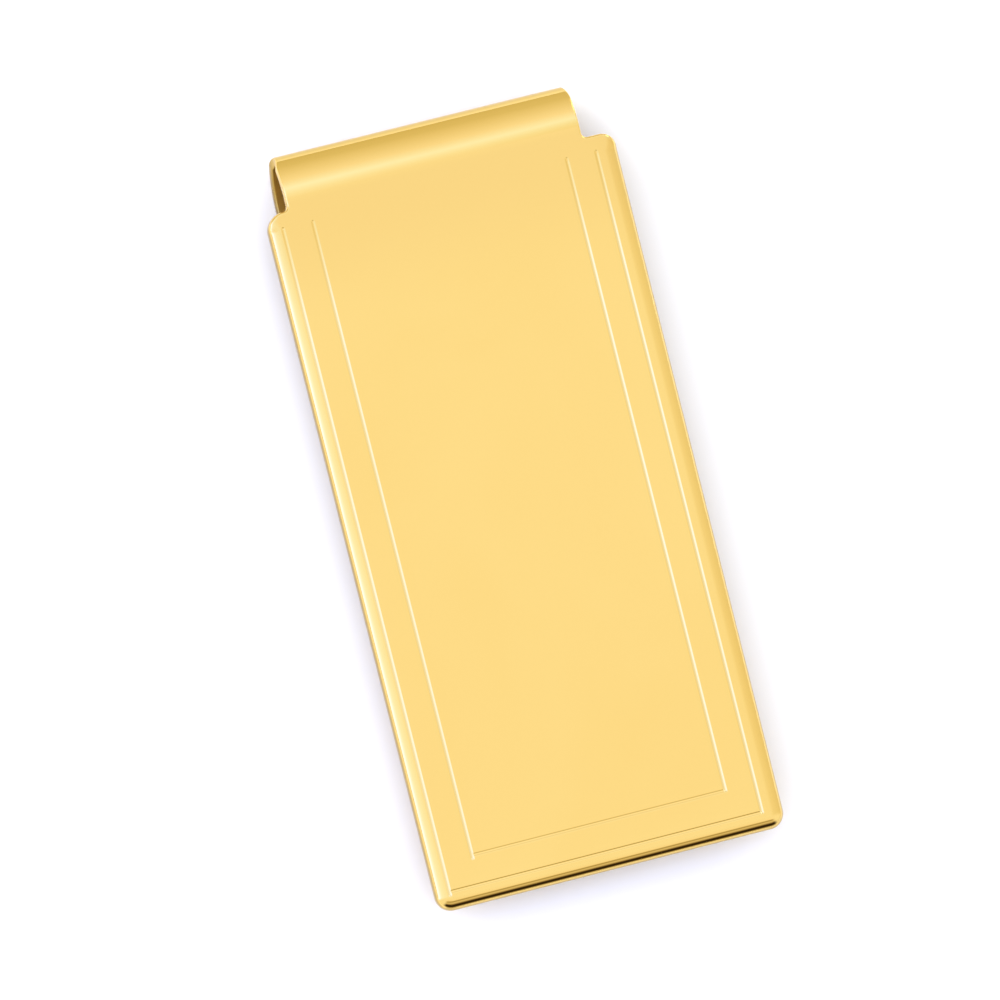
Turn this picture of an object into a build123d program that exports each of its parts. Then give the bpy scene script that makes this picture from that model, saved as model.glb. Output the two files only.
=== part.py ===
"""Bent-sheet money clip: a rolled-edge front plate, a spring bend and a back leg.

Frame: +X across the clip, +Y along it towards the bend, +Z out of the front face.
The origin is under the middle of the clip, on the surface that it lies on.
"""

from build123d import *
from math import atan2, cos, degrees, radians, sin, sqrt
import os

# ---------------------------------------------------------------- driving dimensions, mm
length = 52.4  # bottom edge to the crown of the bend
plate_width = 25.1
height = 3.7  # front face down to the lowest line of the bend
sheet = 0.64  # thickness of the metal everywhere

strip_width = 21.2  # neck, bend and back leg
strip_shift = -0.36  # the strip runs a little left of the plate's middle

# front plate
shoulder_height = 48.65  # from the bottom edge to the shoulders
bottom_corner_radius = 1.1
shoulder_corner_radius = 1.15
notch_radius = 0.35
rim_radius = 1.0  # outside radius of the rolled edge
rim_depth = 1.1  # front face down to the cut edge of the rim

# engraved border: two nested U shapes, open towards the bend
groove_width = 0.3
groove_depth = 0.08
border_half_widths = (11.29, 9.155)  # groove centre lines, from the strip's middle
border_bottoms = (1.3, 3.35)  # the same grooves above the bottom edge
border_top_gap = 1.25  # the grooves end this far below the shoulders

# spring bend: angles that its outside face turns through
neck_rise = 2.9  # start of the bend to the crown
ramp_angle = 26.0
crown_angle = 114.0
back_angle = 40.0
crown_radius = 1.15

# back leg
flexure_gap = 0.2  # free length of sheet between the bend and the leg
root_radius = 5.4
crest_radius = 6.0
crest_height = 11.0  # from the bottom edge of the plate
crest_clearance = 0.15  # crest of the leg to the back of the plate
lip_angle = 20.0
taper_start_height = 21.0  # from the bottom edge of the plate
tip_width = 18.4
tip_corner_radius = 3.0

# ---------------------------------------------------------------- worked out from them
y_bottom = -length / 2
y_crown = length / 2
y_shoulder = y_bottom + shoulder_height
y_bend = y_crown - neck_rise  # where the flat neck starts to curve
z_rim = height - rim_depth
z_back = height - sheet  # back face of the plate
strip_left = strip_shift - strip_width / 2
strip_right = strip_shift + strip_width / 2

ramp_radius = (neck_rise - crown_radius * (1 - sin(radians(ramp_angle)))) / sin(radians(ramp_angle))
back_drop = (
    ramp_radius * (1 - cos(radians(ramp_angle)))
    + crown_radius * cos(radians(ramp_angle))
    + crown_radius * cos(radians(180 - ramp_angle - crown_angle))
)
back_radius = (height - back_drop) / (1 - cos(radians(back_angle)))


def strip_arcs(start, tangent, turns, inner):
    """Arcs that follow one another, each turned by (radius, degrees), and the inner face's arcs."""
    faces = []
    for offset_in in (0, inner):
        point = (start[0], start[1] - offset_in)
        heading = tangent
        arcs = []
        for radius, angle in turns:
            arc = JernArc(start=point, tangent=heading, radius=radius - offset_in, arc_size=-angle)
            point, heading = arc @ 1, arc % 1
            arcs.append(arc)
        faces.append(arcs)
    return faces


# ---------------------------------------------------------------- front plate
# A shallow tray of even thickness, longer than it needs to be, is trimmed to the outline.
trim_end = y_crown + 5
tray_length = trim_end - y_bottom
tray_middle = (trim_end + y_bottom) / 2

with BuildPart() as front_plate:
    with BuildSketch(Plane.XY.offset(z_rim)) as tray_outline:
        with Locations((0, tray_middle)):
            Rectangle(plate_width, tray_length)
        fillet(tray_outline.vertices().group_by(Axis.Y)[0], radius=bottom_corner_radius)
    extrude(amount=rim_depth)
    open_end = front_plate.edges().group_by(Axis.Z)[-1].sort_by(Axis.Y)[-1]
    rolled = [edge for edge in front_plate.edges().group_by(Axis.Z)[-1] if edge != open_end]
    fillet(rolled, radius=rim_radius)

    with BuildSketch(Plane.XY.offset(z_rim)) as hollow_outline:
        with Locations((0, tray_middle + sheet)):
            Rectangle(plate_width - 2 * sheet, tray_length)
        fillet(hollow_outline.vertices().group_by(Axis.Y)[0], radius=bottom_corner_radius - sheet)
    extrude(amount=rim_depth - sheet, mode=Mode.SUBTRACT)
    inner_edges = front_plate.edges().filter_by(lambda e: abs(e.center().Z - z_back) < 1e-4)
    inner_end = inner_edges.sort_by(Axis.Y)[-1]
    fillet([edge for edge in inner_edges if edge != inner_end], radius=rim_radius - sheet)

    with BuildSketch(Plane.XY.offset(z_rim)) as plate_outline:
        with BuildLine():
            Polyline(
                (-plate_width / 2, y_bottom - 1),
                (plate_width / 2, y_bottom - 1),
                (plate_width / 2, y_shoulder),
                (strip_right, y_shoulder),
                (strip_right, y_bend),
                (strip_left, y_bend),
                (strip_left, y_shoulder),
                (-plate_width / 2, y_shoulder),
                close=True,
            )
        make_face()
        at_shoulder = plate_outline.vertices().filter_by(lambda v: abs(v.Y - y_shoulder) < 1e-6)
        fillet(at_shoulder.sort_by(Axis.X)[1:3], radius=notch_radius)
        corners = plate_outline.vertices().filter_by(
            lambda v: abs(v.Y - y_shoulder) < 1e-6 and abs(abs(v.X) - plate_width / 2) < 1e-6
        )
        fillet(corners, radius=shoulder_corner_radius)
    extrude(amount=rim_depth, mode=Mode.INTERSECT)

    y_groove_top = y_shoulder - border_top_gap
    with BuildSketch(Plane.XY.offset(height)):
        for half_width, above_edge in zip(border_half_widths, border_bottoms):
            y_groove = y_bottom + above_edge
            run = y_groove_top - y_groove
            for side in (-1, 1):
                with Locations((strip_shift + side * half_width, y_groove_top - run / 2)):
                    Rectangle(groove_width, run)
            with Locations((strip_shift, y_groove)):
                Rectangle(2 * half_width + groove_width, groove_width)
    extrude(amount=-groove_depth, mode=Mode.SUBTRACT)

# ---------------------------------------------------------------- spring bend
with BuildPart() as spring_bend:
    with BuildSketch(Plane.YZ.offset(strip_left)):
        with BuildLine():
            outer, inner = strip_arcs(
                (y_bend, height),
                (1, 0),
                [(ramp_radius, ramp_angle), (crown_radius, crown_angle), (back_radius, back_angle)],
                sheet,
            )
            Line(outer[0] @ 0, inner[0] @ 0)
            Line(outer[-1] @ 1, inner[-1] @ 1)
        make_face()
    extrude(amount=strip_width)

y_bend_end = y_crown - crown_radius * (1 - sin(radians(180 - ramp_angle - crown_angle)))
y_bend_end -= back_radius * sin(radians(back_angle))

# ---------------------------------------------------------------- back leg
# It leaves the bend level, rises to a crest under the plate, then flares down to a lip.
y_root = y_bend_end - flexure_gap
rise = z_back - crest_clearance - sheet  # lower face of the leg at its crest
reach = y_root - (y_bottom + crest_height)
turn_radii = root_radius + crest_radius
leg_run = sqrt((turn_radii - rise) ** 2 + reach**2 - turn_radii**2)
leg_slope = degrees(atan2(reach, turn_radii - rise) - atan2(leg_run, turn_radii))
lip_run = (rise - crest_radius * (1 - cos(radians(lip_angle)))) / sin(radians(lip_angle))

with BuildPart() as back_leg:
    with BuildSketch(Plane.YZ.offset(strip_left)):
        with BuildLine():
            ends = []
            for lift in (0, sheet):
                root = JernArc((y_root, lift), (-1, 0), root_radius - lift, -leg_slope)
                leg = PolarLine(root @ 1, leg_run, direction=root % 1)
                crest = JernArc(leg @ 1, root % 1, crest_radius + lift, leg_slope + lip_angle)
                lip = PolarLine(crest @ 1, lip_run, direction=crest % 1)
                ends.append((root @ 0, lip @ 1))
            Line(ends[0][0], ends[1][0])
            Line(ends[0][1], ends[1][1])
        make_face()
    extrude(amount=strip_width)

    y_tip = back_leg.part.bounding_box().min.Y
    y_taper = y_bottom + taper_start_height
    with BuildSketch() as leg_outline:
        with BuildLine():
            Polyline(
                (strip_left, y_root),
                (strip_left, y_taper),
                (strip_shift - tip_width / 2, y_tip),
                (strip_shift + tip_width / 2, y_tip),
                (strip_right, y_taper),
                (strip_right, y_root),
                close=True,
            )
        make_face()
        fillet(leg_outline.vertices().group_by(Axis.Y)[0], radius=tip_corner_radius)
    extrude(amount=height, mode=Mode.INTERSECT)

# ---------------------------------------------------------------- parts and figures
hinge_y = y_bend_end - flexure_gap / 2
hinge_z = sheet / 2
print(f"flexure axis: y {hinge_y:.3f}, z {hinge_z:.3f}")
print(f"leg slope {leg_slope:.2f} deg, tip at y {y_tip:.2f}, ramp radius {ramp_radius:.2f}")
print(f"back radius {back_radius:.2f}, bend ends at y {y_bend_end:.3f}")

os.makedirs("parts", exist_ok=True)
front_plate.part.label = "front_plate"
spring_bend.part.label = "spring_bend"
back_leg.part.label = "back_leg"
export_step(front_plate.part, "parts/front_plate.step")
export_step(spring_bend.part, "parts/spring_bend.step")
export_step(back_leg.part, "parts/back_leg.step")
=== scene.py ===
"""A gold money clip bent from one strip of sheet, with an engraved border on its front.

The clip lies on its back: +X runs across it, +Y along it towards the bend, and +Z
comes out of the front face.  Sizes in the classes are in millimetres.
"""

import logging
import math
from dataclasses import dataclass, field
from enum import Enum

import bmesh
import bpy
from mathutils import Matrix, Vector


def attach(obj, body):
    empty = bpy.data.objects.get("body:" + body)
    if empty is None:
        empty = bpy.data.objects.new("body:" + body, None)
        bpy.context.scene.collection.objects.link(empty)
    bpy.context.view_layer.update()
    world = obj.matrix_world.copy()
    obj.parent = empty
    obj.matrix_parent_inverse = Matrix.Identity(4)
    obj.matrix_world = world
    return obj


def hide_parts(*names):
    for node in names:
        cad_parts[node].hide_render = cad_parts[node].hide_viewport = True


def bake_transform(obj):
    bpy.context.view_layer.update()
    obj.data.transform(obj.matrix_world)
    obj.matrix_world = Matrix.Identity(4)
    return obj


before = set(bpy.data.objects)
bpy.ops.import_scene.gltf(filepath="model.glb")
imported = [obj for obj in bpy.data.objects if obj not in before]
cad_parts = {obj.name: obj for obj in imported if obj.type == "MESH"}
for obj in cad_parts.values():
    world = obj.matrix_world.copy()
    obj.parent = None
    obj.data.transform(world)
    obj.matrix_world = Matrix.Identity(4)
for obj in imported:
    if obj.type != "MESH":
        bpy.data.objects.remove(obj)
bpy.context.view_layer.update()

MM = 0.001
TOUCHING = 1e-6
NEAR_FACE = 0.02
SHARP_DEGREES = 28.0
WHITE = (1.0, 1.0, 1.0, 1.0)
log = logging.getLogger("money_clip")


# ------------------------------------------------------------------------- shader tools
class Value:
    """A number socket that adds Math nodes when it is used in an expression."""

    def __init__(self, maker: "NodeMaker", socket: bpy.types.NodeSocket) -> None:
        """Keeps the socket.

        Args:
            maker: the maker of the node tree that the socket belongs to.
            socket: the output socket that gives the number.
        """
        self.maker = maker
        self.socket = socket

    def _math(self, operation: str, *others: "Value | float") -> "Value":
        """Adds one Math node.

        Args:
            operation: the node's operation.
            others: the values after this one.

        Returns:
            The node's result.
        """
        return self.maker.math(operation, self, *others)

    def __add__(self, other: "Value | float") -> "Value":
        """This value plus another."""
        return self._math("ADD", other)

    __radd__ = __add__

    def __rsub__(self, other: float) -> "Value":
        """Another number less this value."""
        return self.maker.math("SUBTRACT", other, self)

    def __mul__(self, other: "Value | float") -> "Value":
        """This value times another."""
        return self._math("MULTIPLY", other)

    __rmul__ = __mul__

    def __truediv__(self, other: "Value | float") -> "Value":
        """This value over another."""
        return self._math("DIVIDE", other)

    def arctan2(self, other: "Value | float") -> "Value":
        """The angle whose tangent is this value over another, in radians."""
        return self._math("ARCTAN2", other)

    def smooth(self, low: float, high: float) -> "Value":
        """Rises smoothly from 0 to 1 between two levels.

        Args:
            low: the level that gives 0.
            high: the level that gives 1.

        Returns:
            The eased value.
        """
        node = self.maker.add(
            "ShaderNodeMapRange",
            {"interpolation_type": "SMOOTHSTEP"},
            {"Value": self, "From Min": low, "From Max": high},
        )
        return Value(self.maker, node.outputs["Result"])


class NodeMaker:
    """Adds nodes to one node tree."""

    def __init__(self, tree: bpy.types.NodeTree) -> None:
        """Clears the tree.

        Args:
            tree: the tree to fill.
        """
        self.tree = tree
        tree.nodes.clear()

    def add(
        self, kind: str, settings: dict | None = None, inputs: dict | None = None
    ) -> bpy.types.Node:
        """Adds a node.

        Args:
            kind: the node's type.
            settings: its properties; "stops" gives a ramp's (position, colour) pairs.
            inputs: values, sockets or Value objects by input name or number.

        Returns:
            The node.
        """
        node = self.tree.nodes.new(kind)
        for name, setting in (settings or {}).items():
            if name == "stops":
                self._set_stops(node.color_ramp, setting)
            else:
                setattr(node, name, setting)
        for name, given in (inputs or {}).items():
            self.feed(node.inputs[name], given)
        return node

    def _set_stops(self, ramp: bpy.types.ColorRamp, stops: list) -> None:
        """Gives a ramp its stops.

        Args:
            ramp: the node's colour ramp.
            stops: (position, (red, green, blue)) pairs in rising order.
        """
        while len(ramp.elements) < len(stops):
            ramp.elements.new(1.0)
        for element, (position, colour) in zip(ramp.elements, stops):
            element.position = position
            element.color = (*colour, 1.0)

    def feed(self, socket: bpy.types.NodeSocket, given: object) -> None:
        """Links or sets one input.

        Args:
            socket: the input.
            given: a Value, an output socket, or a plain value.
        """
        if isinstance(given, Value):
            self.tree.links.new(given.socket, socket)
        elif isinstance(given, bpy.types.NodeSocket):
            self.tree.links.new(given, socket)
        else:
            socket.default_value = given

    def math(self, operation: str, *terms: "Value | float") -> Value:
        """Adds a Math node.

        Args:
            operation: the node's operation.
            terms: its inputs in order.

        Returns:
            The node's result.
        """
        node = self.add("ShaderNodeMath", {"operation": operation}, dict(enumerate(terms)))
        return Value(self, node.outputs[0])

    def value(self, node: bpy.types.Node, output: str | int = 0) -> Value:
        """A node's output as a Value."""
        return Value(self, node.outputs[output])

    def mix(
        self, factor: "Value | float", low: object, high: object, blend: str = "MIX"
    ) -> bpy.types.NodeSocket:
        """Blends two colours.

        Args:
            factor: 0 for the first colour, 1 for the second.
            low: the first colour, with alpha, or its socket.
            high: the second colour, with alpha, or its socket.
            blend: the node's blend type.

        Returns:
            The blended colour's socket.
        """
        node = self.add(
            "ShaderNodeMix",
            {"data_type": "RGBA", "blend_type": blend},
            {"Factor": factor, 6: low, 7: high},
        )
        return node.outputs[2]


# ----------------------------------------------------------------------------- finishes
@dataclass(frozen=True)
class GoldFinish:
    """Polished gold plate as it shows on one sort of surface, with painted shade low down and in a
    band below the bend; lengths here are in metres.
    """

    name: str
    colour: tuple[float, float, float] = (0.98, 0.708, 0.231)
    warm_colour: tuple[float, float, float] = (0.955, 0.66, 0.19)
    roughness: float = 0.045
    roughness_spread: float = 0.02
    hairline_height: float = 1.2e-7
    ripple_height: float = 4e-7
    hairline_scale: float = 9000.0
    ripple_scale: float = 120.0
    smudge_scale: float = 45.0
    pit_scale: float = 2600.0
    hairline_roughness: float = 0.6
    pit_roughness: float = 0.5
    hairlines_along: tuple[float, float, float] = (1.0, 0.04, 1.0)
    warm_share: float = 0.35
    # Painted shade: below the given heights the colour darkens towards the next colour, standing
    # in for dimmer reflections low on the clip; on the left edge the shift sets that line lower.
    painted_shade_colour: tuple[float, float, float] = (0.68, 0.47, 0.125)
    painted_shade_heights: tuple[float, float] = (0.0027, 0.0031)
    left_shade_drop: float = 0.0
    left_edge: tuple[float, float] = (-0.0122, -0.0119)
    # Painted shade: a darker band of colour across the face just below the bend.
    shade_band_rise: tuple[float, float] = (0.014, 0.022)
    shade_band_end: tuple[float, float] = (0.0228, 0.0236)
    shade_band_colour: tuple[float, float, float] = (0.945, 0.665, 0.212)

    def build(self) -> bpy.types.Material:
        """Makes the material.

        Returns:
            The material, with all its nodes.
        """
        material = bpy.data.materials.new(self.name)
        material.use_nodes = True
        make = NodeMaker(material.node_tree)
        where = make.add("ShaderNodeTexCoord").outputs["Object"]
        along = make.add("ShaderNodeMapping", {}, {"Vector": where, "Scale": self.hairlines_along})
        hairlines = make.value(
            make.add(
                "ShaderNodeTexNoise",
                {},
                {
                    "Vector": along.outputs[0],
                    "Scale": self.hairline_scale,
                    "Detail": 3.0,
                    "Roughness": 0.6,
                },
            )
        )
        ripple = make.value(
            make.add(
                "ShaderNodeTexNoise",
                {},
                {"Vector": where, "Scale": self.ripple_scale, "Detail": 1.0},
            )
        )
        smudge = make.value(
            make.add(
                "ShaderNodeTexNoise",
                {},
                {
                    "Vector": where,
                    "Scale": self.smudge_scale,
                    "Detail": 4.0,
                    "Roughness": 0.55,
                    "Distortion": 0.6,
                },
            )
        )
        pits = make.value(
            make.add(
                "ShaderNodeTexNoise", {}, {"Vector": where, "Scale": self.pit_scale, "Detail": 2.0}
            )
        )
        handled = smudge.smooth(0.35, 0.7)
        roughness = (
            self.roughness
            + self.roughness_spread * handled
            + self.roughness_spread * self.hairline_roughness * hairlines.smooth(0.45, 0.75)
            + self.roughness_spread * self.pit_roughness * pits.smooth(0.62, 0.8)
        )
        rubbed = make.mix(
            handled * self.warm_share,
            (*self.colour, 1.0),
            (*self.warm_colour, 1.0),
        )
        split = make.add("ShaderNodeSeparateXYZ", {}, {0: where})
        x, y, z = (make.value(split, axis) for axis in "XYZ")
        # Painted shade: low is the share of the darker colour, growing as the surface drops below
        # the set heights, with the line set lower on the left edge.
        level = z
        if self.left_shade_drop:
            level = z + self.left_shade_drop * (1 - x.smooth(*self.left_edge))
        low = 1 - level.smooth(*self.painted_shade_heights)
        # Painted shade: the darker band just below the bend.
        shade_band = y.smooth(*self.shade_band_rise) * (1 - y.smooth(*self.shade_band_end))
        shade_banded = make.mix(shade_band, rubbed, (*self.shade_band_colour, 1.0))
        colour = make.mix(low, shade_banded, (*self.painted_shade_colour, 1.0))
        ripples = make.add(
            "ShaderNodeBump",
            {},
            {"Height": ripple, "Strength": 1.0, "Distance": self.ripple_height},
        )
        lines = make.add(
            "ShaderNodeBump",
            {},
            {
                "Height": hairlines,
                "Strength": 1.0,
                "Distance": self.hairline_height,
                "Normal": ripples.outputs[0],
            },
        )
        shader = make.add(
            "ShaderNodeBsdfPrincipled",
            {},
            {
                "Base Color": colour,
                "Metallic": 1.0,
                "Roughness": roughness,
                "Normal": lines.outputs[0],
            },
        )
        make.add("ShaderNodeOutputMaterial", {}, {"Surface": shader.outputs[0]})
        return material


class Surface(Enum):
    """The sorts of surface that the sheet has, in slot order."""

    POLISHED = 0
    ENGRAVED = 1
    CUT_EDGE = 2
    BACK = 3
    RIM = 4


FINISHES = {
    Surface.POLISHED: GoldFinish("polished_gold_face"),
    Surface.ENGRAVED: GoldFinish(
        "engraved_gold_line",
        colour=(1.0, 0.82, 0.42),
        roughness=0.09,
        roughness_spread=0.03,
        warm_share=0.1,
    ),
    Surface.CUT_EDGE: GoldFinish(
        "cut_gold_edge",
        colour=(0.97, 0.72, 0.27),
        roughness=0.26,
        roughness_spread=0.08,
        hairline_height=5e-7,
        hairlines_along=(1.0, 1.0, 0.08),
        # Painted shade: the cut edges darken more, and from higher up.
        painted_shade_colour=(0.5, 0.34, 0.09),
        painted_shade_heights=(0.0014, 0.0032),
    ),
    Surface.BACK: GoldFinish(
        "gold_back_of_sheet",
        colour=(0.96, 0.68, 0.22),
        roughness=0.4,
        roughness_spread=0.05,
        hairline_height=3e-7,
    ),
    # The rim differs from the face only by a stronger painted shade on its lower wall, which on
    # the left edge starts lower down.
    Surface.RIM: GoldFinish(
        "rolled_gold_rim",
        painted_shade_colour=(0.5, 0.35, 0.118),
        painted_shade_heights=(0.0032, 0.0035),
        left_shade_drop=0.00017,
    ),
}


@dataclass(frozen=True)
class PaleFloor:
    """A plain white sweep under the clip."""

    name: str = "white_sweep"
    colour: tuple[float, float, float] = (0.9, 0.9, 0.9)
    roughness: float = 0.9

    def build(self) -> bpy.types.Material:
        """Makes the material.

        Returns:
            The material.
        """
        material = bpy.data.materials.new(self.name)
        material.use_nodes = True
        make = NodeMaker(material.node_tree)
        shader = make.add(
            "ShaderNodeBsdfDiffuse",
            {},
            {"Color": (*self.colour, 1.0), "Roughness": self.roughness},
        )
        make.add("ShaderNodeOutputMaterial", {}, {"Surface": shader.outputs[0]})
        return material


# --------------------------------------------------------------------------- mesh tools
def cut_across(bm: bmesh.types.BMesh, at: float, axis: int, drop_beyond: bool = False) -> None:
    """Cuts a mesh on a plane square to an axis.

    Args:
        bm: the mesh.
        at: where the plane stands on the axis.
        axis: 0 for X and 1 for Y.
        drop_beyond: removes what lies past the plane.
    """
    point, normal = Vector((0, 0, 0)), Vector((0, 0, 0))
    point[axis] = at
    normal[axis] = 1
    bmesh.ops.bisect_plane(
        bm,
        geom=bm.verts[:] + bm.edges[:] + bm.faces[:],
        dist=TOUCHING,
        plane_co=point,
        plane_no=normal,
        clear_outer=drop_beyond,
    )


def flat_outline(
    bm: bmesh.types.BMesh, corners: list[tuple[float, float, float]]
) -> bmesh.types.BMFace:
    """Draws a flat face with rounded corners.

    Args:
        bm: an empty mesh.
        corners: (x, y, corner radius) in order round the face.

    Returns:
        The face.
    """
    points = [bm.verts.new((x, y, 0)) for x, y, _ in corners]
    bm.faces.new(points)
    for point, (_, _, radius) in zip(points, corners):
        if radius:
            bmesh.ops.bevel(
                bm,
                geom=[point],
                offset=radius,
                offset_type="OFFSET",
                affect="VERTICES",
                segments=max(6, round(radius * 14)),
                profile=0.5,
                material=-1,
            )
    bm.faces.ensure_lookup_table()
    return bm.faces[0]


def finished_object(bm: bmesh.types.BMesh, name: str) -> bpy.types.Object:
    """Turns a mesh in millimetres into an object in metres, smooth except at its hard edges.

    Args:
        bm: the mesh, which is used up.
        name: the object's name.

    Returns:
        The object, linked to the scene.
    """
    bmesh.ops.scale(bm, vec=(MM, MM, MM), verts=bm.verts)
    bmesh.ops.recalc_face_normals(bm, faces=bm.faces)
    for face in bm.faces:
        face.smooth = True
    for edge in bm.edges:
        if len(edge.link_faces) == 2:
            edge.smooth = edge.calc_face_angle(0.0) < math.radians(SHARP_DEGREES)
    mesh = bpy.data.meshes.new(name)
    bm.to_mesh(mesh)
    bm.free()
    piece = bpy.data.objects.new(name, mesh)
    bpy.context.scene.collection.objects.link(piece)
    return piece


def rounding(distance: float, radius: float) -> float:
    """How far a rounded edge has dropped at a distance in from the edge.

    Args:
        distance: how far in from the edge.
        radius: the edge's radius.

    Returns:
        The drop, 0 at the radius and beyond.
    """
    if distance >= radius:
        return 0.0
    return radius - math.sqrt(radius**2 - (radius - distance) ** 2)


def ease(level: float, low: float, high: float) -> float:
    """Rises smoothly from 0 at low to 1 at high."""
    share = min(1.0, max(0.0, (level - low) / (high - low)))
    return share * share * (3 - 2 * share)


# ------------------------------------------------------------------------- sheet & bends
@dataclass(frozen=True)
class Run:
    """A straight run of sheet."""

    length: float

    def steps(self, hug: float = 0.02) -> list[float]:
        """Stations just inside both ends, which keep the run's middle flat."""
        return [hug, self.length - hug] if self.length > 3 * hug else []


@dataclass(frozen=True)
class Turn:
    """A bend in the sheet; its radius is that of the measured face.

    A negative radius bends away from the sheet's depth.
    """

    radius: float
    degrees: float
    step_degrees: float = 0.75

    @property
    def length(self) -> float:
        """Length of the measured face round the bend."""
        return abs(self.radius) * math.radians(self.degrees)

    def steps(self) -> list[float]:
        """Stations round the bend, evenly spaced."""
        count = max(4, math.ceil(self.degrees / self.step_degrees))
        return [self.length * k / count for k in range(1, count)]


@dataclass(frozen=True)
class BendPath:
    """The line that one face of the sheet follows, seen from the side."""

    start: tuple[float, float]
    heading_degrees: float
    legs: tuple

    @property
    def length(self) -> float:
        """Length of the whole path."""
        return sum(leg.length for leg in self.legs)

    def stations(self) -> list[float]:
        """Places the lines that a blank needs across it.

        Returns:
            Their distances along the path, without its ends.
        """
        found, done = [], 0.0
        for leg in self.legs:
            found += [done + step for step in leg.steps()] + [done + leg.length]
            done += leg.length
        return found[:-1]

    def place(self, travel: float, depth: float) -> tuple[float, float]:
        """Where a point of the flat blank comes to.

        Args:
            travel: distance along the path.
            depth: distance into the sheet from the measured face.

        Returns:
            Its y and z.
        """
        y, z = self.start
        heading = math.radians(self.heading_degrees)
        for number, leg in enumerate(self.legs):
            last = number == len(self.legs) - 1
            part = travel if last else min(travel, leg.length)
            inward = (math.sin(heading), -math.cos(heading))
            if isinstance(leg, Run):
                y += math.cos(heading) * part
                z += math.sin(heading) * part
            else:
                centre = (y + leg.radius * inward[0], z + leg.radius * inward[1])
                heading -= part / leg.radius
                inward = (math.sin(heading), -math.cos(heading))
                y = centre[0] - leg.radius * inward[0]
                z = centre[1] - leg.radius * inward[1]
            travel -= part
            if travel <= 0 or last:
                break
        inward = (math.sin(heading), -math.cos(heading))
        return y + depth * inward[0], z + depth * inward[1]


@dataclass(frozen=True)
class Strip:
    """What the neck, the bend and the leg share."""

    sheet: float = 0.64
    width: float = 21.2
    shift: float = -0.36
    height: float = 3.7
    bend_start: float = 23.3

    @property
    def left(self) -> float:
        """The strip's left edge."""
        return self.shift - self.width / 2

    @property
    def right(self) -> float:
        """The strip's right edge."""
        return self.shift + self.width / 2


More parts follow.
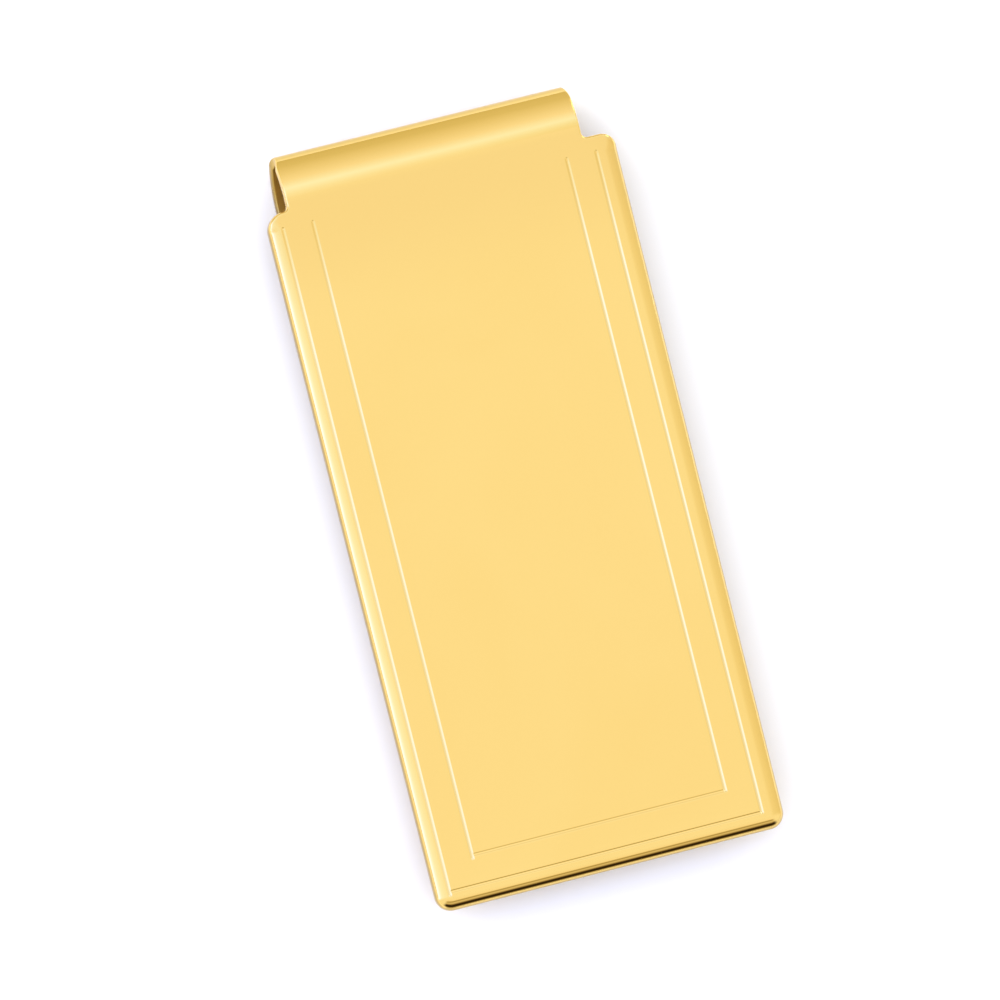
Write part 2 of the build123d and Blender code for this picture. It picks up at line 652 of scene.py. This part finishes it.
# --------------------------------------------------------------------------- front plate
@dataclass
class FrontPlate:
    """The long flat face with its rolled rim and the engraved border."""

    strip: Strip = field(default_factory=Strip)
    width: float = 25.1
    bottom: float = -26.2
    shoulder: float = 22.45
    bottom_corner: float = 1.1
    shoulder_corner: float = 1.15
    notch_corner: float = 0.35
    rim_radius: float = 1.0
    rim_fall: float = 0.65
    rim_depth: float = 1.1
    rim_shade_width: float = 0.4
    buffed_width: float = 3.2
    buffed_slope: float = 0.045
    neck_edge_radius: float = 0.13
    underside_edge_radius: float = 0.06
    rim_fade: tuple[float, float] = (22.42, 21.1)
    rim_steps: int = 18
    groove_half_width: float = 0.16
    groove_guard: float = 0.03
    left_depth: float = 0.046
    right_depth: float = 0.06
    level_depth: float = 0.034
    groove_half_spans: tuple[float, float] = (11.29, 9.155)
    groove_bottoms: tuple[float, float] = (1.3, 3.35)
    groove_top: float = 21.2
    left_overshoot: float = 0.2
    punch_radius: float = 0.13
    punch_depth: float = 0.038
    weld_distance: float = 0.002
    engraved_from: float = 0.004
    wall_step: float = 0.008
    wall_cuts: int = 5
    punch_cuts: int = 3
    buffed_cuts: int = 16
    first_buffed_cut: int = 5
    fade_cuts: int = 14

    def outline(self) -> list[tuple[float, float, float]]:
        """Corners of the flat blank; the neck is left long.

        Returns:
            (x, y, corner radius) in order round the blank.
        """
        half, neck_end = self.width / 2, self.strip.bend_start + 2
        return [
            (-half, self.bottom, self.bottom_corner),
            (half, self.bottom, self.bottom_corner),
            (half, self.shoulder, self.shoulder_corner),
            (self.strip.right, self.shoulder, self.notch_corner),
            (self.strip.right, neck_end, 0),
            (self.strip.left, neck_end, 0),
            (self.strip.left, self.shoulder, self.notch_corner),
            (-half, self.shoulder, self.shoulder_corner),
        ]

    def inset_distances(self) -> list[float]:
        """Places the lines that carry the rolled rim's curve.

        Returns:
            Their distances in from the edge, in rising order.
        """
        roll = [
            self.rim_radius * (1 - math.sin(math.pi / 2 * k / self.rim_steps))
            for k in range(self.rim_steps - 1, -1, -1)
        ]
        inner_wall = [self.strip.sheet - self.wall_step, self.strip.sheet + self.wall_step]
        flat = [self.rim_radius + 0.03]
        return sorted(roll + inner_wall + flat)

    def groove_lines(self) -> list[tuple[float, float, float, float]]:
        """Centre lines of the engraving.

        Returns:
            (x0, y0, x1, y1) for each line.
        """
        lines = []
        for half, above in zip(self.groove_half_spans, self.groove_bottoms):
            left, right = self.strip.shift - half, self.strip.shift + half
            low = self.bottom + above
            lines.append((left, low - self.left_overshoot, left, self.groove_top))
            lines.append((right, low, right, self.groove_top))
            lines.append((left, low, right, low))
        return lines

    def groove_at(self, x: float, y: float, upright_only: bool = False) -> float:
        """Depth of the engraving at a point of the face.

        Args:
            x: the point's x.
            y: the point's y.
            upright_only: leaves out the lines across the bottom.

        Returns:
            The depth, 0 off the lines.
        """
        deepest = 0.0
        for x0, y0, x1, y1 in self.groove_lines():
            if upright_only and x0 != x1:
                continue
            full = self.level_depth
            if x0 == x1:
                full = self.left_depth if x0 < 0 else self.right_depth
            off_x = max(x0 - x, 0.0, x - x1)
            off_y = max(y0 - y, 0.0, y - y1)
            share = math.hypot(off_x, off_y) / self.groove_half_width
            if share < 1:
                deepest = max(deepest, full * (0.5 + 0.5 * math.cos(math.pi * share)))
            if x0 == x1:
                away = math.hypot(x - x0, y - y1 - self.punch_radius) / self.punch_radius
                if away < 1:
                    deepest = max(deepest, self.punch_depth * (1 - away**2))
        return deepest

    def cut_lines(self) -> tuple[list[float], list[float]]:
        """Places the cuts for the engraving, the buffed borders and the fading rim.

        Returns:
            The cuts' places on X, and those on Y.
        """
        edge = self.groove_half_width + self.groove_guard
        cuts = range(-self.wall_cuts, self.wall_cuts + 1)
        wall = [-edge, *(self.groove_half_width * k / self.wall_cuts for k in cuts), edge]
        across_x, across_y = set(), set()
        for half, above in zip(self.groove_half_spans, self.groove_bottoms):
            for side in (-1, 1):
                across_x |= {self.strip.shift + side * half + w for w in wall}
            low = self.bottom + above
            across_y |= {low + w for w in wall}
            across_y |= {low - self.left_overshoot + w for w in wall[::2]}
        punch = range(-self.punch_cuts, 2 * self.punch_cuts + 1)
        across_y |= {self.groove_top + self.punch_radius * k / self.punch_cuts for k in punch}
        across_y.add(self.groove_top + 2 * self.punch_radius + self.groove_guard)
        for step in range(self.first_buffed_cut, self.buffed_cuts + 1):
            margin = self.buffed_width * step / self.buffed_cuts
            across_x |= {self.width / 2 - margin, margin - self.width / 2}
            across_y.add(self.bottom + margin)
        fade_top, fade_bottom = self.rim_fade
        fade_step = (fade_top - fade_bottom) / self.fade_cuts
        across_y |= {fade_bottom + fade_step * k for k in range(self.fade_cuts + 1)}
        return sorted(across_x), sorted(across_y)

    def rolled(self, y: float) -> float:
        """How fully the rim is rolled at a place along the plate, from 0 to 1."""
        return ease(y, *self.rim_fade)

    def face_height(self, x: float, y: float, in_from_edge: float) -> float:
        """Height of the front surface.

        Args:
            x: the point's x.
            y: the point's y.
            in_from_edge: how far in from the outline the point lies.

        Returns:
            The height above the surface that the clip lies on.
        """
        rolled = self.rolled(y)
        radius = self.neck_edge_radius + (self.rim_radius - self.neck_edge_radius) * rolled
        fall = self.neck_edge_radius + (self.rim_fall - self.neck_edge_radius) * rolled
        drop = rounding(in_from_edge, radius) * fall / radius
        return self.strip.height - drop - self.buffed(x, y) - self.groove_at(x, y)

    def buffed(self, x: float, y: float) -> float:
        """How far polishing has eased the face down towards its long sides and its bottom.

        Args:
            x: the point's x.
            y: the point's y.

        Returns:
            The drop.
        """
        half = self.width / 2
        drop = 0.0
        for margin in (half - abs(x), y - self.bottom):
            short = max(0.0, self.buffed_width - margin)
            drop += self.buffed_slope * short**2 / (2 * self.buffed_width)
        return drop

    def back_height(self, y: float, in_from_edge: float) -> float:
        """Height of the back surface, down to the rim's cut edge.

        Args:
            y: the point's y.
            in_from_edge: how far in from the outline the point lies.

        Returns:
            The height above the surface that the clip lies on.
        """
        sheet = self.strip.sheet
        if in_from_edge < sheet:
            hang = self.rim_depth - sheet
        else:
            hang = rounding(in_from_edge - sheet, self.rim_radius - sheet)
        edge = rounding(in_from_edge, self.underside_edge_radius)
        return self.strip.height - sheet - hang * self.rolled(y) + edge

    def build(self) -> bpy.types.Object:
        """Makes the plate.

        Returns:
            The plate's object.
        """
        bm = bmesh.new()
        face = flat_outline(bm, self.outline())
        from_edge = bm.verts.layers.float.new("in_from_edge")
        done = 0.0
        for distance in self.inset_distances():
            bmesh.ops.inset_region(
                bm,
                faces=[face],
                thickness=distance - done,
                use_boundary=True,
                use_even_offset=True,
            )
            done = distance
            for vert in face.verts:
                vert[from_edge] = distance
        cut_across(bm, self.strip.bend_start, 1, drop_beyond=True)
        across_x, across_y = self.cut_lines()
        for at in across_x:
            cut_across(bm, at, 0)
        for at in across_y:
            cut_across(bm, at, 1)
        bmesh.ops.remove_doubles(bm, verts=bm.verts, dist=self.weld_distance)
        lower = set(bm.verts)
        raised = bmesh.ops.extrude_face_region(bm, geom=bm.faces[:], use_keep_orig=True)
        upper = [item for item in raised["geom"] if isinstance(item, bmesh.types.BMVert)]
        top_faces = [item for item in raised["geom"] if isinstance(item, bmesh.types.BMFace)]
        for vert in upper:
            vert.co.z = self.face_height(vert.co.x, vert.co.y, vert[from_edge])
        for vert in lower:
            vert.co.z = self.back_height(vert.co.y, vert[from_edge])
        self._sort_surfaces(bm, set(top_faces), from_edge)
        return finished_object(bm, "front_plate_face")

    def _sort_surfaces(self, bm: bmesh.types.BMesh, top_faces: set, from_edge: object) -> None:
        """Gives each face its sort of surface.

        Args:
            bm: the plate's mesh.
            top_faces: the faces of the front.
            from_edge: the layer that holds each point's distance in from the edge.
        """
        for face in bm.faces:
            centre = face.calc_center_median()
            inset = sum(vert[from_edge] for vert in face.verts) / len(face.verts)
            if face in top_faces:
                depth = self.groove_at(centre.x, centre.y, upright_only=True)
                surface = Surface.ENGRAVED if depth > self.engraved_from else Surface.POLISHED
                # The rim's faces take the rim finish, which carries the stronger painted shade.
                if inset < self.rim_shade_width and centre.y < self.rim_fade[0]:
                    surface = Surface.RIM
            elif inset == 0.0:
                surface = Surface.RIM if centre.y < self.rim_fade[0] else Surface.CUT_EDGE
            elif inset < self.strip.sheet:
                surface = Surface.CUT_EDGE
            else:
                surface = Surface.BACK
            face.material_index = surface.value


# --------------------------------------------------------------------------- spring bend
@dataclass
class SpringBend:
    """The tight loop at the top that joins the plate to the leg."""

    strip: Strip = field(default_factory=Strip)
    ramp: Turn = Turn(5.14, 26.0, 0.5)
    crown: Turn = Turn(1.15, 114.0, 1.5)
    back: Turn = Turn(5.41, 40.0, 0.75)
    free_length: float = 0.2
    edge_radius: float = 0.13
    end_draw_in: float = 0.18
    end_reach: float = 1.3
    end_place: float = 0.45

    def path(self) -> BendPath:
        """The outside face's line, from the neck to the leg's root."""
        start = (self.strip.bend_start, self.strip.height)
        return BendPath(start, 0.0, (self.ramp, self.crown, self.back, Run(self.free_length)))

    def build(self) -> bpy.types.Object:
        """Makes the bend.

        Returns:
            The bend's object.
        """
        path = self.path()
        bm = bmesh.new()
        flat_outline(
            bm,
            [
                (self.strip.left, 0, 0),
                (self.strip.right, 0, 0),
                (self.strip.right, path.length, 0),
                (self.strip.left, path.length, 0),
            ],
        )
        thicken(bm, self.strip.sheet)
        round_long_edges(bm, self.edge_radius, [0.0, path.length])
        for at in path.stations():
            cut_across(bm, at, 1)
        crown = self.ramp.length + self.crown.length * self.end_place
        for vert in bm.verts:
            side = 1 if vert.co.x > self.strip.shift else -1
            away = abs(vert.co.y - crown)
            vert.co.x -= side * self.end_draw_in * (1 - ease(away, 0.0, self.end_reach))
        roll_up(bm, path, self.strip)
        return finished_object(bm, "spring_bend_loop")


# ------------------------------------------------------------------------------ back leg
@dataclass
class BackLeg:
    """The sprung tongue behind the plate, with its crest and the flared lip."""

    strip: Strip = field(default_factory=Strip)
    root: float = 22.114
    root_radius: float = 5.4
    crest_radius: float = 6.0
    crest_y: float = -15.2
    crest_clearance: float = 0.15
    lip_angle: float = 20.0
    taper_start: float = -5.2
    tip_width: float = 18.4
    tip_corner: float = 3.0
    edge_radius: float = 0.12

    def path(self) -> BendPath:
        """The lower face's line.

        Returns:
            The path from the root to the lip's end.
        """
        rise = self.strip.height - 2 * self.strip.sheet - self.crest_clearance
        reach = self.root - self.crest_y
        radii = self.root_radius + self.crest_radius
        run = math.sqrt((radii - rise) ** 2 + reach**2 - radii**2)
        slope = math.degrees(math.atan2(reach, radii - rise) - math.atan2(run, radii))
        lip = math.radians(self.lip_angle)
        lip_run = (rise - self.crest_radius * (1 - math.cos(lip))) / math.sin(lip)
        return BendPath(
            (self.root, 0.0),
            180.0,
            (
                Turn(self.root_radius, slope),
                Run(run),
                Turn(-self.crest_radius, slope + self.lip_angle),
                Run(lip_run),
            ),
        )

    def build(self) -> bpy.types.Object:
        """Makes the leg.

        Returns:
            The leg's object.
        """
        path = self.path()
        end = path.length
        taper = self.root - self.taper_start
        half_tip = self.tip_width / 2
        bm = bmesh.new()
        flat_outline(
            bm,
            [
                (self.strip.left, 0, 0),
                (self.strip.right, 0, 0),
                (self.strip.right, taper, 0),
                (self.strip.shift + half_tip, end, self.tip_corner),
                (self.strip.shift - half_tip, end, self.tip_corner),
                (self.strip.left, taper, 0),
            ],
        )
        thicken(bm, self.strip.sheet)
        round_long_edges(bm, self.edge_radius, [0.0])
        for at in path.stations():
            cut_across(bm, at, 1)
        roll_up(bm, path, self.strip)
        return finished_object(bm, "back_leg_tongue")


def thicken(bm: bmesh.types.BMesh, sheet: float) -> None:
    """Gives a flat blank the sheet's thickness, upwards from its face.

    Args:
        bm: the blank.
        sheet: the sheet's thickness.
    """
    raised = bmesh.ops.extrude_face_region(bm, geom=bm.faces[:], use_keep_orig=True)
    lifted = [item for item in raised["geom"] if isinstance(item, bmesh.types.BMVert)]
    bmesh.ops.translate(bm, vec=(0, 0, sheet), verts=lifted)
    bmesh.ops.recalc_face_normals(bm, faces=bm.faces)


def round_long_edges(bm: bmesh.types.BMesh, radius: float, plain_ends: list[float]) -> None:
    """Rounds the blank's border on both faces, except at its joined ends.

    Args:
        bm: the blank.
        radius: the edge radius.
        plain_ends: places along the blank whose ends stay square.
    """
    border = []
    for edge in bm.edges:
        a, b = (vert.co for vert in edge.verts)
        at_end = any(max(abs(a.y - end), abs(b.y - end)) < TOUCHING for end in plain_ends)
        if abs(a.z - b.z) < TOUCHING and not at_end:
            border.append(edge)
    bmesh.ops.bevel(
        bm, geom=border, offset=radius, affect="EDGES", segments=5, profile=0.5, material=-1
    )


def roll_up(bm: bmesh.types.BMesh, path: BendPath, strip: Strip) -> None:
    """Bends a flat blank along a path, and sorts its surfaces.

    Args:
        bm: the blank, whose y is distance along the path and whose z is depth.
        path: the path of the blank's face at z = 0.
        strip: the strip that the blank belongs to.
    """
    for face in bm.faces:
        centre = face.calc_center_median()
        if centre.z < NEAR_FACE:
            surface = Surface.POLISHED
        elif centre.z > strip.sheet - NEAR_FACE:
            surface = Surface.BACK
        else:
            surface = Surface.CUT_EDGE
        face.material_index = surface.value
    for vert in bm.verts:
        vert.co.y, vert.co.z = path.place(vert.co.y, vert.co.z)


# -------------------------------------------------------------------------- whole object
@dataclass
class MoneyClip:
    """The three regions of the one sheet, dressed; the plate and the leg are put on their bodies.
    """

    plate: FrontPlate = field(default_factory=FrontPlate)
    bend: SpringBend = field(default_factory=SpringBend)
    leg: BackLeg = field(default_factory=BackLeg)

    def dress(self, piece: bpy.types.Object, materials: dict) -> None:
        """Gives a piece its finishes.

        Args:
            piece: the piece.
            materials: the material for each sort of surface.
        """
        for surface in Surface:
            piece.data.materials.append(materials[surface])
        log.info("%s: %d faces", piece.name, len(piece.data.polygons))

    def build(self) -> None:
        """Makes and dresses the pieces, mounts the plate and the leg, and bakes the bend in place.
        """
        materials = {surface: finish.build() for surface, finish in FINISHES.items()}
        plate = self.plate.build()
        self.dress(plate, materials)
        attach(plate, "front")
        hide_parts("front_plate")
        leg = self.leg.build()
        self.dress(leg, materials)
        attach(leg, "leg")
        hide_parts("back_leg")
        bend = self.bend.build()
        self.dress(bend, materials)
        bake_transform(bend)
        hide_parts("spring_bend")


# -------------------------------------------------------------------------------- studio
@dataclass(frozen=True)
class SoftLight:
    """A rectangular soft light aimed at the clip."""

    name: str
    place: tuple[float, float, float]
    size: tuple[float, float]
    radiance: float
    mirrored: bool = True

    def build(self) -> None:
        """Hangs the light."""
        light = bpy.data.lights.new(self.name, "AREA")
        light.shape = "RECTANGLE"
        light.size, light.size_y = (side * MM for side in self.size)
        light.energy = self.radiance * math.pi * light.size * light.size_y
        lamp = bpy.data.objects.new(self.name, light)
        lamp.location = Vector(self.place) * MM
        towards = -Vector(self.place).normalized()
        lamp.rotation_mode = "QUATERNION"
        lamp.rotation_quaternion = towards.to_track_quat("-Z", "Y")
        lamp.visible_camera = False
        lamp.visible_glossy = self.mirrored
        bpy.context.scene.collection.objects.link(lamp)


@dataclass(frozen=True)
class LightTent:
    """The walls and roof that the polished metal mirrors, by direction.

    Both tables hold (degrees from the zenith, colour).  Negative is towards the clip's
    bottom in one, and towards its left in the other.
    """

    along: tuple = (
        (-90, (0.8, 0.78, 0.7)),
        (-86, (0.8, 0.75, 0.6)),
        (-80, (0.3, 0.24, 0.14)),
        (-75, (0.03, 0.02, 0.01)),
        (-59, (0.03, 0.02, 0.01)),
        (-53, (0.35, 0.27, 0.15)),
        (-48, (0.68, 0.62, 0.48)),
        (-43, (0.72, 0.66, 0.5)),
        (-38, (0.42, 0.34, 0.18)),
        (-34, (0.62, 0.54, 0.36)),
        (-29, (0.98, 0.95, 0.9)),
        (-12, (1.0, 1.02, 1.05)),
        (0, (1.0, 1.0, 1.0)),
        (6, (1.0, 1.05, 1.15)),
        (15, (1.02, 1.2, 1.68)),
        (21, (1.0, 1.08, 1.3)),
        (27, (0.985, 0.97, 0.98)),
        (39, (0.87, 0.825, 0.70)),
        (51, (0.745, 0.685, 0.47)),
        (80, (0.70, 0.64, 0.42)),
        (90, (0.72, 0.67, 0.5)),
    )
    across: tuple = (
        (-90, (0.6, 0.52, 0.34)),
        (-86, (0.64, 0.57, 0.4)),
        (-82.5, (1.38, 1.58, 3.3)),
        (-72, (1.4, 1.6, 3.8)),
        (-60, (1.15, 1.33, 2.6)),
        (-45, (1.05, 1.22, 1.8)),
        (-20, (1.02, 1.12, 1.45)),
        (0, (1.02, 1.05, 1.2)),
        (12, (1.02, 1.012, 1.07)),
        (17, (1.018, 1.012, 1.062)),
        (23, (0.99, 0.97, 0.95)),
        (32, (0.94, 0.905, 0.84)),
        (46, (0.925, 0.875, 0.77)),
        (66, (0.885, 0.835, 0.71)),
        (90, (0.85, 0.82, 0.74)),
    )
    ends: tuple[float, float, float] = (1.018, 1.012, 1.06)
    side_half_width: tuple[float, float] = (0.12, 0.35)
    card_half_angle: tuple[float, float] = (30.0, 50.0)
    card_back: tuple[float, float] = (-0.02, 0.02)
    card_top: tuple[float, float] = (0.85, 0.97)

    def build(self) -> None:
        """Makes the world."""
        world = bpy.data.worlds.new("light_tent")
        bpy.context.scene.world = world
        world.use_nodes = True
        make = NodeMaker(world.node_tree)
        where = make.add("ShaderNodeTexCoord").outputs["Generated"]
        split = make.add("ShaderNodeSeparateXYZ", {}, {0: where})
        x, y, z = (make.value(split, axis) for axis in range(3))
        lean = y.arctan2(z) / math.pi + 0.5
        sideways = make.math("ARCSINE", x) / math.pi + 0.5
        along = make.add("ShaderNodeValToRGB", {"stops": self._stops(self.along)}, {0: lean})
        across = make.add("ShaderNodeValToRGB", {"stops": self._stops(self.across)}, {0: sideways})
        azimuth = make.math("ABSOLUTE", x.arctan2(y * -1.0)) / math.radians(1.0)
        beside = azimuth.smooth(*self.card_half_angle)
        behind = y.smooth(*self.card_back)
        no_card = beside * (1 - behind) * (1 - z.smooth(*self.card_top))
        walls = make.mix(no_card, along.outputs[0], WHITE)
        off_side = make.math("ABSOLUTE", y).smooth(*self.side_half_width)
        sides = make.mix(off_side, across.outputs[0], (*self.ends, 1.0))
        colour = make.mix(1.0, walls, sides, "MULTIPLY")
        background = make.add("ShaderNodeBackground", {}, {"Color": colour, "Strength": 1.0})
        make.add("ShaderNodeOutputWorld", {}, {"Surface": background.outputs[0]})

    def _stops(self, walls: tuple) -> list:
        """A ramp's stops from (degrees, colour) pairs."""
        return [(0.5 + degrees / 180, colour) for degrees, colour in walls]


@dataclass(frozen=True)
class Studio:
    """Floor, lights and the long-lens camera."""

    tilt_degrees: float = 14.5
    roll: tuple[float, float] = (0.9698, 0.2437)
    field_width: float = 67.93
    centre: tuple[float, float] = (-0.577, -0.163)
    lens: float = 800.0
    sensor: float = 36.0
    clip_range: tuple[float, float] = (0.05, 20.0)
    floor_size: float = 3.2

    def floor(self) -> None:
        """Lays the floor."""
        bm = bmesh.new()
        bmesh.ops.create_grid(bm, x_segments=1, y_segments=1, size=self.floor_size / 2)
        mesh = bpy.data.meshes.new("floor")
        bm.to_mesh(mesh)
        bm.free()
        mesh.materials.append(PaleFloor().build())
        floor = bpy.data.objects.new("floor", mesh)
        bpy.context.scene.collection.objects.link(floor)

    def camera(self) -> None:
        """Stands the camera on the clip's left, square to its length."""
        tilt = math.radians(self.tilt_degrees)
        back = Vector((-math.sin(tilt), 0, math.cos(tilt)))
        across = Vector((math.cos(tilt), 0, math.sin(tilt)))
        along = Vector((0, 1, 0))
        right = self.roll[0] * across - self.roll[1] * along
        up = self.roll[1] * across + self.roll[0] * along
        target = (right * self.centre[0] + up * self.centre[1]) * MM
        data = bpy.data.cameras.new("camera")
        data.lens = self.lens
        data.sensor_width = self.sensor
        distance = self.lens * self.field_width / self.sensor * MM
        data.clip_start, data.clip_end = self.clip_range
        camera = bpy.data.objects.new("camera", data)
        turned = Matrix((right, up, back)).transposed().to_4x4()
        camera.matrix_world = Matrix.Translation(target + back * distance) @ turned
        bpy.context.scene.collection.objects.link(camera)
        bpy.context.scene.camera = camera

    def build(self) -> None:
        """Sets up the whole studio."""
        bpy.context.scene.view_settings.view_transform = "Standard"
        self.floor()
        LightTent().build()
        SoftLight("key_light", (-260, 200, 200), (200, 200), 4.0, mirrored=False).build()
        SoftLight("overhead_fill", (0, 0, 900), (3000, 3000), 0.62, mirrored=False).build()
        SoftLight("corner_card", (292, 192, 194), (110, 110), 2.6).build()
        self.camera()


def main() -> None:
    """Builds the clip and its studio."""
    logging.basicConfig(level=logging.INFO)
    Studio().build()
    MoneyClip().build()


if __name__ == "__main__":
    main()
